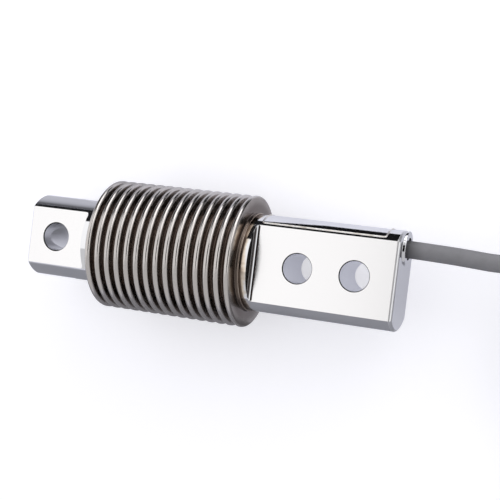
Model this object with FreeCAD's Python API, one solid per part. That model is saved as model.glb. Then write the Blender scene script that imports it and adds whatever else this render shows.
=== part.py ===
"""Bending beam load cell with a welded metal bellows, in millimetres.

The body is one bar along X: loading end at low X, mounting end and cable at high X.
The load acts along Z, across the milled flats, and the pocket cover faces +Y.
Shapes are drawn about the bar's axis with X counted from the loading end's face, and
placed() then sets them on the ground plane with the origin under the middle of the part.
"""
import FreeCAD, Part
import math
import os

# Bar ends and flats
LOAD_END_DIA = 24.3
MOUNT_END_DIA = 27.7
FLAT_SPAN = 17.7
LOAD_FLAT_LENGTH = 19.2
MOUNT_FLAT_LENGTH = 40.55
FLAT_CORNER_RADIUS = 1.0
LOAD_END_CHAMFER = 0.4
MOUNT_END_ROUNDING = 1.0

# Through holes for the load and mounting bolts
LOAD_HOLE_DIA = 8.2
LOAD_HOLE_INSET = 8.9
MOUNT_HOLE_DIA = 8.2
MOUNT_HOLE_SPACING = 16.1
MOUNT_HOLE_INSET = 11.5
HOLE_EDGE_BREAK = 0.2
HOLE_EDGE_DEPTH = 0.35

# Bellows and the round collars that it is welded to
BELLOWS_OD = 37.8
BELLOWS_ROOT_DIA = 29.6
BELLOWS_PITCH = 3.04
BELLOWS_WALL = 0.25
CONVOLUTIONS = 15
CREST_RADIUS = 0.84
CUFF_LENGTH = 0.8
CUFF_BEND_RADIUS = 0.3
LOAD_COLLAR_LENGTH = 4.2
MOUNT_COLLAR_LENGTH = 2.25

# Measuring beam inside the bellows
BEAM_SETBACK = 2.0
BEAM_WIDTH = 15.0
BEAM_HEIGHT = 14.0
BEAM_CORNER_RADIUS = 2.0
WINDOW_BORE_DIA = 10.0
WINDOW_BORE_INSET = 8.0
WINDOW_SLOT_HEIGHT = 5.0

# Strain gauges, their terminals and leads
GAUGE_LENGTH = 7.0
GAUGE_WIDTH = 5.0
GAUGE_THICKNESS = 0.1
TERMINAL_LENGTH = 5.0
TERMINAL_WIDTH = 6.0
TERMINAL_THICKNESS = 0.3
LEAD_DIA = 0.6
LEAD_SPREAD = 1.0
LEAD_BEND_RADIUS = 0.9
LEAD_REACH_IN = 1.8
CHANNEL_DIA = 3.2
CHANNEL_BEAM_GAP = 0.4

# Pocket, cover and board in the mounting end
POCKET_DEPTH = 8.05
POCKET_CORNER_RADIUS = 2.0
COVER_THICKNESS = 1.0
COVER_EDGE_MARGIN = 1.0
COVER_START_MARGIN = 1.15
COVER_END_MARGIN = 4.35
COVER_CORNER_RADIUS = 0.6
COVER_LEDGE = 2.1
COVER_WELD_GAP = 0.05
BOARD_WIDTH = 10.0
BOARD_THICKNESS = 1.0
BOARD_END_MARGIN = 2.0
BOARD_CABLE_GAP = 2.05
RESISTOR_LENGTH = 3.2
RESISTOR_WIDTH = 1.6
RESISTOR_HEIGHT = 0.7
RESISTOR_SPACING = 3.4

# Cable outlet
CABLE_DIA = 4.8
CABLE_EDGE_DISTANCE = 4.89
FERRULE_DIA = 7.0
FERRULE_WALL = 0.4
FERRULE_LIP_DIA = 9.6
FERRULE_LIP_LENGTH = 0.5
SEAL_RECESS = 0.3
CRIMP_WALL = 0.6
CRIMP_LENGTH = 2.4
CRIMP_GAP = 0.3
JACKET_REACH_IN = 0.6
CORE_DIA = 0.9
CORE_SPACING = 1.05
CORE_BEND_RADIUS = 1.3
CORE_LANDING = 1.2

# Loose cable: hank, ties and stripped end
HANK_RUN = 88.0
HANK_FOLD_RADIUS = 15.0
HANK_ROWS = 5
HANK_COLUMNS = 2
HANK_EDGE_ROUNDING = 2.3
HANK_STAND_OFF = 33.5
HANK_SIDE_SHIFT = -7.0
TIE_THICKNESS = 0.8
TIE_WIDTH = 5.0
TAIL_LENGTH = 50.0
TAIL_RUN_IN = 24.0
TAIL_INSET = 7.0
CORE_END_LENGTH = 30.0
SHIELD_END_LENGTH = 24.0
SHIELD_END_DIA = 1.2

# Stations along the bar, counted from the loading end's face
load_radius = LOAD_END_DIA / 2
mount_radius = MOUNT_END_DIA / 2
flat_height = FLAT_SPAN / 2
bellows_radius = BELLOWS_OD / 2
load_cuff_start = LOAD_FLAT_LENGTH + LOAD_COLLAR_LENGTH
first_flank = load_cuff_start + CUFF_LENGTH
first_crest = first_flank + CREST_RADIUS
last_crest = first_crest + (CONVOLUTIONS - 1) * BELLOWS_PITCH
last_flank = last_crest + CREST_RADIUS
mount_cuff_end = last_flank + CUFF_LENGTH
mount_shoulder = mount_cuff_end + MOUNT_COLLAR_LENGTH
body_length = mount_shoulder + MOUNT_FLAT_LENGTH
beam_start = first_flank + BEAM_SETBACK
beam_end = last_flank - BEAM_SETBACK
beam_middle = (beam_start + beam_end) / 2
window_bores = (beam_start + WINDOW_BORE_INSET, beam_end - WINDOW_BORE_INSET)
mount_holes = (
    body_length - MOUNT_HOLE_INSET - MOUNT_HOLE_SPACING,
    body_length - MOUNT_HOLE_INSET,
)
cover_start = mount_shoulder + COVER_START_MARGIN
cover_end = body_length - COVER_END_MARGIN
cover_half_width = flat_height - COVER_EDGE_MARGIN
cover_seat_radius = mount_radius - COVER_THICKNESS
pocket_floor = mount_radius - POCKET_DEPTH
cable_offset = mount_radius - CABLE_EDGE_DISTANCE
channel_offset = (BEAM_WIDTH + CHANNEL_DIA) / 2 + CHANNEL_BEAM_GAP
pocket_start = cover_start + COVER_LEDGE
pocket_end = cover_end - COVER_LEDGE
pocket_half_width = cover_half_width - COVER_LEDGE
board_start = pocket_start + BOARD_END_MARGIN
board_top = pocket_floor + BOARD_THICKNESS
ferrule_radius = FERRULE_DIA / 2
ferrule_bore_radius = ferrule_radius - FERRULE_WALL
cable_radius = CABLE_DIA / 2
crimp_end = pocket_end - CRIMP_GAP
crimp_start = crimp_end - CRIMP_LENGTH
jacket_start = crimp_start - JACKET_REACH_IN
board_end = jacket_start - BOARD_CABLE_GAP
overall_length = body_length + FERRULE_LIP_LENGTH
ground = -bellows_radius
hank_width = HANK_COLUMNS * CABLE_DIA
hank_height = HANK_ROWS * CABLE_DIA
hank_inner = HANK_FOLD_RADIUS - cable_radius
hank_outer = hank_inner + hank_width
clear_of_bar = mount_radius + bellows_radius

ALONG = FreeCAD.Vector(1, 0, 0)
ACROSS = FreeCAD.Vector(0, 1, 0)
UP = FreeCAD.Vector(0, 0, 1)
CENTRE = FreeCAD.Vector(0, 0, 0)


def point(x, y=0.0, z=0.0):
    """A point in the drawing frame."""
    return FreeCAD.Vector(x, y, z)


def bar(start, end, radius, y=0.0, z=0.0):
    """Round bar along X between two stations."""
    return Part.makeCylinder(radius, end - start, point(start, y, z), ALONG)


def tube(start, end, outer, inner, y=0.0, z=0.0):
    """Round tube along X between two stations."""
    return bar(start, end, outer, y, z).cut(bar(start, end, inner, y, z))


def block(low, high):
    """Box between two opposite corners."""
    size = high - low
    return Part.makeBox(size.x, size.y, size.z, low)


def bent_path(corners, radii):
    """Wire of straight runs joined by tangent arcs, one radius for each inner corner."""
    edges = []
    here = corners[0]
    for before, corner, after, radius in zip(corners, corners[1:], corners[2:], radii):
        back = (before - corner).normalize()
        ahead = (after - corner).normalize()
        half_angle = back.getAngle(ahead) / 2
        setback = radius / math.tan(half_angle)
        inward = (back + ahead).normalize()
        arc_start = corner + back * setback
        arc_end = corner + ahead * setback
        arc_middle = corner + inward * (radius / math.sin(half_angle) - radius)
        edges.append(Part.LineSegment(here, arc_start).toShape())
        edges.append(Part.Arc(arc_start, arc_middle, arc_end).toShape())
        here = arc_end
    edges.append(Part.LineSegment(here, corners[-1]).toShape())
    return Part.Wire(edges)


def swept_rod(path, radius):
    """Round rod along a wire."""
    start = path.Edges[0].Vertexes[0].Point
    heading = path.Edges[0].tangentAt(path.Edges[0].FirstParameter)
    section = Part.Wire(Part.makeCircle(radius, start, heading))
    return path.makePipeShell([section], True, False)


def milled_cut(start, end, depth, corner_radius):
    """Tool shape that mills everything above one height between two stations, over the bar's width."""
    top = clear_of_bar
    arc_inset = corner_radius * (1 - math.sqrt(0.5))
    left_arc = point(start + arc_inset, 0, depth + arc_inset)
    right_arc = point(end - arc_inset, 0, depth + arc_inset)
    left_up = point(start, 0, depth + corner_radius)
    left_low = point(start + corner_radius, 0, depth)
    right_low = point(end - corner_radius, 0, depth)
    right_up = point(end, 0, depth + corner_radius)
    profile = Part.Wire([
        Part.LineSegment(point(start, 0, top), left_up).toShape(),
        Part.Arc(left_up, left_arc, left_low).toShape(),
        Part.LineSegment(left_low, right_low).toShape(),
        Part.Arc(right_low, right_arc, right_up).toShape(),
        Part.LineSegment(right_up, point(end, 0, top)).toShape(),
        Part.LineSegment(point(end, 0, top), point(start, 0, top)).toShape(),
    ])
    face = Part.Face(profile)
    face.translate(ACROSS * -clear_of_bar)
    return face.extrude(ACROSS * (2 * clear_of_bar))


def both_sides(tool):
    """The tool and its mirror image below the bar's axis."""
    return [tool, tool.mirror(CENTRE, UP)]


def turned_about_bar(shape, degrees):
    """Copy of a shape turned about the bar's axis."""
    copy = shape.copy()
    copy.rotate(CENTRE, ALONG, degrees)
    return copy


def bolt_hole(station, diameter):
    """Tool for a through hole along Z with both edges broken."""
    radius = diameter / 2
    wide = radius + HOLE_EDGE_BREAK
    tool = Part.makeCylinder(radius, FLAT_SPAN, point(station, 0, -flat_height), UP)
    rim = Part.makeCone(radius, wide, HOLE_EDGE_DEPTH, point(station, 0, flat_height - HOLE_EDGE_DEPTH), UP)
    return tool.fuse(both_sides(rim))


def end_edges(shape, station):
    """Edges that lie wholly in the end face at a station."""
    edges = []
    for edge in shape.Edges:
        box = edge.BoundBox
        if abs(box.XMin - station) < 1e-6 and abs(box.XMax - station) < 1e-6:
            edges.append(edge)
    return edges


def cover_blank(outer_radius, gap):
    """Curved plate of the cover: a slice of a ring with rounded corners, larger all round by a gap."""
    ring = tube(0, body_length, outer_radius, cover_seat_radius)
    half_width = cover_half_width + gap
    slab = block(point(cover_start - gap, 0, -half_width), point(cover_end + gap, clear_of_bar, half_width))
    corners = [edge for edge in slab.Edges if edge.BoundBox.YLength > COVER_THICKNESS]
    return ring.common(slab.makeFillet(COVER_CORNER_RADIUS + gap, corners))


def pocket_tool():
    """Milled pocket below the cover, with rounded corners."""
    low = point(pocket_start, pocket_floor, -pocket_half_width)
    high = point(pocket_end, mount_radius, pocket_half_width)
    box = block(low, high)
    uprights = [edge for edge in box.Edges if edge.BoundBox.YLength > COVER_THICKNESS]
    return box.makeFillet(POCKET_CORNER_RADIUS, uprights)


def spring_element():
    """The one-piece bar: ends, collars, measuring beam, holes, pocket and wire ways."""
    body = bar(0, beam_end, load_radius).fuse(bar(beam_end, body_length, mount_radius))
    runout = 2 * FLAT_CORNER_RADIUS
    cuts = both_sides(milled_cut(-runout, LOAD_FLAT_LENGTH, flat_height, FLAT_CORNER_RADIUS))
    cuts += both_sides(milled_cut(mount_shoulder, body_length + runout, flat_height, FLAT_CORNER_RADIUS))
    cuts += both_sides(milled_cut(beam_start, beam_end, BEAM_HEIGHT / 2, BEAM_CORNER_RADIUS))
    side = milled_cut(beam_start, beam_end, BEAM_WIDTH / 2, BEAM_CORNER_RADIUS)
    cuts += [turned_about_bar(side, 90), turned_about_bar(side, -90)]
    body = body.cut(cuts).removeSplitter()
    body = body.makeChamfer(LOAD_END_CHAMFER, end_edges(body, 0))
    body = body.makeFillet(MOUNT_END_ROUNDING, end_edges(body, body_length))
    half_slot = WINDOW_SLOT_HEIGHT / 2
    slot_low = point(window_bores[0], -BEAM_WIDTH, -half_slot)
    slot_high = point(window_bores[1], BEAM_WIDTH, half_slot)
    windows = [block(slot_low, slot_high)]
    for station in window_bores:
        bore_start = point(station, -BEAM_WIDTH)
        windows.append(Part.makeCylinder(WINDOW_BORE_DIA / 2, 2 * BEAM_WIDTH, bore_start, ACROSS))
    holes = [bolt_hole(LOAD_HOLE_INSET, LOAD_HOLE_DIA)]
    holes += [bolt_hole(station, MOUNT_HOLE_DIA) for station in mount_holes]
    channel_start = beam_end - BEAM_CORNER_RADIUS
    channel_end = pocket_start + POCKET_CORNER_RADIUS
    ways = [
        cover_blank(clear_of_bar, COVER_WELD_GAP),
        pocket_tool(),
        bar(channel_start, channel_end, CHANNEL_DIA / 2, channel_offset),
        bar(pocket_end - POCKET_CORNER_RADIUS, body_length, ferrule_radius, cable_offset),
    ]
    return body.cut(windows + holes + ways).removeSplitter()


def bellows_side(offset):
    """Edges of one side of the bellows wall in the XZ plane, from the load cuff to the mount cuff.

    An offset of 0 gives the outer side and one wall thickness gives the inner side: the two sides share
    the centres of all their arcs, so the wall has the same thickness everywhere.
    """
    crest = CREST_RADIUS - offset
    root = BELLOWS_PITCH / 2 - CREST_RADIUS + offset
    bend = CUFF_BEND_RADIUS + offset
    crest_centre = bellows_radius - CREST_RADIUS
    root_centre = BELLOWS_ROOT_DIA / 2 + BELLOWS_PITCH / 2 - CREST_RADIUS
    half = math.sqrt(0.5)
    edges = []

    def line(x1, z1, x2, z2):
        edges.append(Part.LineSegment(point(x1, 0, z1), point(x2, 0, z2)).toShape())

    def arc(x, z, radius, angles):
        spots = [point(x + radius * ax, 0, z + radius * az) for ax, az in angles]
        edges.append(Part.Arc(*spots).toShape())

    load_bend = load_radius + BELLOWS_WALL + CUFF_BEND_RADIUS
    mount_bend = mount_radius + BELLOWS_WALL + CUFF_BEND_RADIUS
    line(load_cuff_start, load_bend - bend, first_flank - CUFF_BEND_RADIUS, load_bend - bend)
    arc(first_flank - CUFF_BEND_RADIUS, load_bend, bend, [(0, -1), (half, -half), (1, 0)])
    low = load_bend
    for turn in range(CONVOLUTIONS):
        middle = first_crest + turn * BELLOWS_PITCH
        line(middle - crest, low, middle - crest, crest_centre)
        arc(middle, crest_centre, crest, [(-1, 0), (0, 1), (1, 0)])
        low = root_centre
        if turn < CONVOLUTIONS - 1:
            line(middle + crest, crest_centre, middle + crest, low)
            arc(middle + BELLOWS_PITCH / 2, root_centre, root, [(-1, 0), (0, -1), (1, 0)])
    line(last_crest + crest, crest_centre, last_crest + crest, mount_bend)
    arc(last_flank + CUFF_BEND_RADIUS, mount_bend, bend, [(-1, 0), (-half, -half), (0, -1)])
    line(last_flank + CUFF_BEND_RADIUS, mount_bend - bend, mount_cuff_end, mount_bend - bend)
    return edges


def bellows():
    """Thin wall of U-shaped convolutions, turned about the bar's axis."""
    outer = bellows_side(0.0)
    inner = bellows_side(BELLOWS_WALL)
    load_lip = Part.LineSegment(
        point(load_cuff_start, 0, load_radius),
        point(load_cuff_start, 0, load_radius + BELLOWS_WALL),
    ).toShape()
    mount_lip = Part.LineSegment(
        point(mount_cuff_end, 0, mount_radius + BELLOWS_WALL),
        point(mount_cuff_end, 0, mount_radius),
    ).toShape()
    section = Part.Face(Part.Wire([load_lip] + outer + [mount_lip] + inner[::-1]))
    return section.revolve(CENTRE, ALONG, 360)


def seated_on_beam(station, length, width, thickness, side):
    """Flat pad on the top (side 1) or bottom (side -1) of the measuring beam."""
    half_height = BEAM_HEIGHT / 2
    low = point(station - length / 2, -width / 2, half_height)
    pad = block(low, low + point(length, width, thickness))
    return pad if side > 0 else pad.mirror(CENTRE, UP)


def gauge_lead(side, place):
    """Thin lead from a terminal pad, down the beam's side and along the channel to the board.

    The two leads of a side run one above the other in the channel, on that side of the bar's axis.
    """
    run_y = channel_offset + place * LEAD_SPREAD / 2
    run_z = side * LEAD_SPREAD / 2
    pad_x = beam_middle - place * TERMINAL_LENGTH / 4
    pad_y = TERMINAL_WIDTH / 4
    pad_z = side * (BEAM_HEIGHT / 2 + TERMINAL_THICKNESS)
    over_z = pad_z + side * LEAD_REACH_IN
    board_x = board_start + LEAD_REACH_IN * (1.5 + place / 2)
    corners = [
        point(pad_x, pad_y, pad_z),
        point(pad_x, pad_y, over_z),
        point(pad_x, run_y, over_z),
        point(pad_x, run_y, run_z),
        point(board_x, run_y, run_z),
        point(board_x, board_top, run_z),
    ]
    return swept_rod(bent_path(corners, [LEAD_BEND_RADIUS] * 4), LEAD_DIA / 2)


def board():
    """Compensation board, bonded flat on the pocket's floor."""
    low = point(board_start, pocket_floor, -BOARD_WIDTH / 2)
    return block(low, point(board_end, board_top, BOARD_WIDTH / 2))


def resistor(place):
    """Trimming resistor on the board, numbered from 0 along it."""
    centre_x = (board_start + board_end) / 2 + (place - 1.5) * RESISTOR_SPACING
    low = point(centre_x - RESISTOR_WIDTH / 2, board_top, -RESISTOR_LENGTH / 2)
    return block(low, low + point(RESISTOR_WIDTH, RESISTOR_HEIGHT, RESISTOR_LENGTH))


def gland_ferrule():
    """Sleeve in the end face with a rounded lip outside it."""
    sleeve = bar(pocket_end, body_length, ferrule_radius, cable_offset)
    lip = bar(body_length, overall_length, FERRULE_LIP_DIA / 2, cable_offset)
    rims = [edge for edge in lip.Edges if abs(edge.BoundBox.XMin - overall_length) < 1e-6]
    lip = lip.makeFillet(FERRULE_LIP_LENGTH / 2, rims)
    body = sleeve.fuse(lip)
    return body.cut(bar(pocket_end, overall_length, ferrule_bore_radius, cable_offset)).removeSplitter()


def core_offset(place):
    """Distance of a cable core from the pocket's middle, numbered from 0."""
    return (place - 1.5) * CORE_SPACING


def inner_core(place):
    """Cable core from the jacket's inner end, bent down onto the board."""
    z = core_offset(place)
    bend_x = board_end - CORE_LANDING
    corners = [
        point(jacket_start, cable_offset, z),
        point(bend_x, cable_offset, z),
        point(bend_x, board_top, z),
    ]
    return swept_rod(bent_path(corners, [CORE_BEND_RADIUS]), CORE_DIA / 2)


# Cable route: points of its centre line, chosen by hand from the jacket's inner end to the hank
fold_near = point(body_length + HANK_STAND_OFF + hank_outer, HANK_SIDE_SHIFT, ground + TIE_THICKNESS)
fold_far = fold_near + ALONG * HANK_RUN
CABLE_ROUTE = [
    point(jacket_start, cable_offset, 0.0),
    point(jacket_start + 25.0, cable_offset, 0.0),
    point(jacket_start + 46.0, cable_offset + 0.9, 1.3),
    fold_near + point(0, hank_outer - cable_radius, hank_height - cable_radius),
]
tail_start = fold_near + point(0, HANK_FOLD_RADIUS, cable_radius)
tail_bend = tail_start + point(TAIL_RUN_IN, -TAIL_INSET, -TIE_THICKNESS)
tail_end = tail_bend + ALONG * (TAIL_LENGTH - TAIL_RUN_IN)


def cable_radii(route):
    """Largest bend radius that each inner point's two runs leave room for."""
    radii = []
    for before, corner, after in zip(route, route[1:], route[2:]):
        turn = (corner - before).getAngle(after - corner)
        shorter = min((corner - before).Length, (after - corner).Length)
        radii.append(0.45 * shorter / math.tan(turn / 2))
    return radii


def cable_lead():
    """Jacket from inside the pocket to the hank, with its radii and volume printed."""
    radii = cable_radii(CABLE_ROUTE)
    path = bent_path(CABLE_ROUTE, radii)
    rod = swept_rod(path, cable_radius)
    expected = math.pi * cable_radius ** 2 * path.Length
    print("cable bend radii", [round(radius, 1) for radius in radii])
    print("cable length", round(path.Length, 2), "volume ratio", round(rod.Volume / expected, 5))
    return rod


def hank_block(radius):
    """Upright block with two round ends, of one radius about the hank's folds."""
    ends = [Part.makeCylinder(radius, hank_height, centre, UP) for centre in (fold_near, fold_far)]
    middle = block(fold_near - ACROSS * radius, fold_far + point(0, radius, hank_height))
    return middle.fuse(ends).removeSplitter()


def cable_hank(lead, tail):
    """Outer shape of the folded cable, with seats for the lead and the tail."""
    ring = hank_block(hank_outer).cut(hank_block(hank_inner))
    rims = [edge for edge in ring.Edges if edge.BoundBox.ZLength < 1e-6]
    return ring.makeFillet(HANK_EDGE_ROUNDING, rims).cut([lead, tail])


def tie_block(middle, grow):
    """Rounded block round the runs at a place, larger all round by a margin."""
    low = middle - point(TIE_WIDTH / 2, hank_width / 2 + grow, grow)
    high = middle + point(TIE_WIDTH / 2, hank_width / 2 + grow, hank_height + grow)
    box = block(low, high)
    corners = [edge for edge in box.Edges if edge.BoundBox.XLength > TIE_WIDTH / 2]
    return box.makeFillet(HANK_EDGE_ROUNDING + grow, corners)


def hank_tie(side):
    """Flat tie round the runs on one side of the hank."""
    middle = (fold_near + fold_far) * 0.5 + ACROSS * (side * (hank_inner + hank_width / 2))
    return tie_block(middle, TIE_THICKNESS).cut(tie_block(middle, 0.0))


def cable_tail():
    """Last piece of jacket, leaving the hank's lowest inner run for the space between its sides."""
    route = [tail_start, tail_bend, tail_end]
    return swept_rod(bent_path(route, cable_radii(route)), cable_radius)


def tail_core(place):
    """Stripped core beyond the jacket's outer end."""
    start = tail_end + ACROSS * core_offset(place)
    return Part.makeCylinder(CORE_DIA / 2, CORE_END_LENGTH, start, ALONG)


def shield_end():
    """Twisted shield below the cores at the jacket's outer end."""
    drop = CORE_DIA / 2 + SHIELD_END_DIA / 2
    return Part.makeCylinder(SHIELD_END_DIA / 2, SHIELD_END_LENGTH, tail_end - UP * drop, ALONG)


def placed(shape):
    """Copy of a shape moved from the drawing frame to the part's frame."""
    copy = shape.copy()
    copy.translate(point(-overall_length / 2, 0, -ground))
    return copy


def build():
    """All nodes of the part, by name, in the drawing frame."""
    seal_end = overall_length - SEAL_RECESS
    lead = cable_lead()
    tail = cable_tail()
    nodes = {
        "spring_element": spring_element(),
        "bellows": bellows(),
        "pocket_cover": cover_blank(mount_radius, 0.0),
        "gland_ferrule": gland_ferrule(),
        "gland_seal": tube(pocket_end, seal_end, ferrule_bore_radius, cable_radius, cable_offset),
        "crimp_ring": tube(crimp_start, crimp_end, cable_radius + CRIMP_WALL, cable_radius, cable_offset),
        "compensation_board": board(),
        "cable_lead": lead,
        "cable_hank": cable_hank(lead, tail),
        "cable_tail": tail,
        "shield_end": shield_end(),
    }
    for side, level in ((1, "top"), (-1, "bottom")):
        nodes["terminal_pad_" + level] = seated_on_beam(
            beam_middle, TERMINAL_LENGTH, TERMINAL_WIDTH, TERMINAL_THICKNESS, side
        )
        for station, end in zip(window_bores, ("load", "mount")):
            nodes["strain_gauge_" + level + "_" + end] = seated_on_beam(
                station, GAUGE_LENGTH, GAUGE_WIDTH, GAUGE_THICKNESS, side
            )
        for place, sign in ((1, "plus"), (-1, "minus")):
            nodes["gauge_lead_" + level + "_" + sign] = gauge_lead(side, place)
    for place, use in enumerate(("zero", "span", "temperature", "input")):
        nodes[use + "_resistor"] = resistor(place)
    for place, colour in enumerate(("red", "black", "green", "white")):
        nodes["inner_core_" + colour] = inner_core(place)
        nodes["core_end_" + colour] = tail_core(place)
    for name, side in (("hank_tie_near", -1), ("hank_tie_far", 1)):
        nodes[name] = hank_tie(side)
    return nodes


def main():
    """Write one STEP file for each node."""
    os.makedirs("parts", exist_ok=True)
    for name, shape in build().items():
        placed(shape).exportStep(os.path.join("parts", name + ".step"))


main()
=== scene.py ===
"""Looks of a bending beam load cell with a welded bellows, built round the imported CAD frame.

The frame has +X along the bar towards the cable, +Y towards the pocket cover and +Z up.
Blender works in metres; sizes taken from the drawing are in millimetres and pass through mm().
"""

import logging
import math
from dataclasses import dataclass
from enum import Enum
from typing import Protocol

import bmesh
import bpy
from mathutils import Matrix, Vector


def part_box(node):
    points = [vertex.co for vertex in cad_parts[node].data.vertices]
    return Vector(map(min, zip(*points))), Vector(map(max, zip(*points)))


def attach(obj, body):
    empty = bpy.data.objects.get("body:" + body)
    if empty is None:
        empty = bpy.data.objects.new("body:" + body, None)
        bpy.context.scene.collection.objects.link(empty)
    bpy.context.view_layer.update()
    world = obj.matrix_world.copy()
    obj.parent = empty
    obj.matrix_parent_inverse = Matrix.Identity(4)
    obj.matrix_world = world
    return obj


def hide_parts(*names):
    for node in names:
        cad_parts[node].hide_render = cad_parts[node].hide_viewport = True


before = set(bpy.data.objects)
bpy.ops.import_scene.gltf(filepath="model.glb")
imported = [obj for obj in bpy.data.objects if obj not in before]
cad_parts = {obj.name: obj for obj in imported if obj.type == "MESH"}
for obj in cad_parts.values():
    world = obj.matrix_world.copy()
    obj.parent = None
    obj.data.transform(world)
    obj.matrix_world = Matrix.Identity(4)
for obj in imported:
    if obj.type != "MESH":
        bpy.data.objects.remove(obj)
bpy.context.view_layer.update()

LOG = logging.getLogger("load_cell")
BODY = "root"

Triple = tuple[float, float, float]
Colour = Triple
Span = tuple[float, float]
Socket = bpy.types.NodeSocket
Number = Socket | float
Tone = Socket | Colour
BMesh = bmesh.types.BMesh
BMVert = bmesh.types.BMVert
BMEdge = bmesh.types.BMEdge


def mm(length: float) -> float:
    """Metres from millimetres."""
    return length * 0.001


ORIGIN = (0.0, 0.0, 0.0)
BAR_AXIS = (1.0, 0.0, 0.0)
COVER_AXIS = (0.0, 1.0, 0.0)
UP_AXIS = (0.0, 0.0, 1.0)

# Sizes of the CAD solids that several pieces and finishes share
FLAT_HEIGHT = mm(8.85)
LOAD_COLLAR_RADIUS = mm(12.15)
MOUNT_COLLAR_RADIUS = mm(13.85)

# Noise values over which a mottled surface goes from its first tone to its second
NOISE_SPAN = (0.3, 0.7)


class Grain(Enum):
    """Way that a metal's fine tool marks run, as noise cells for each metre along X, Y and Z."""

    ALONG_BAR = (120.0, 2600.0, 2600.0)
    ROUND_BAR = (5200.0, 260.0, 260.0)


class FoilSide(Enum):
    """Object axis that runs across the bar on the side of a piece that carries foil."""

    LYING = "Y"
    UPRIGHT = "Z"


class MixKind(Enum):
    """What a Mix node mixes: its data type, and the places of its two inputs and its output."""

    COLOUR = ("RGBA", 6, 7, 2)
    NUMBER = ("FLOAT", 2, 3, 0)


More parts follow.
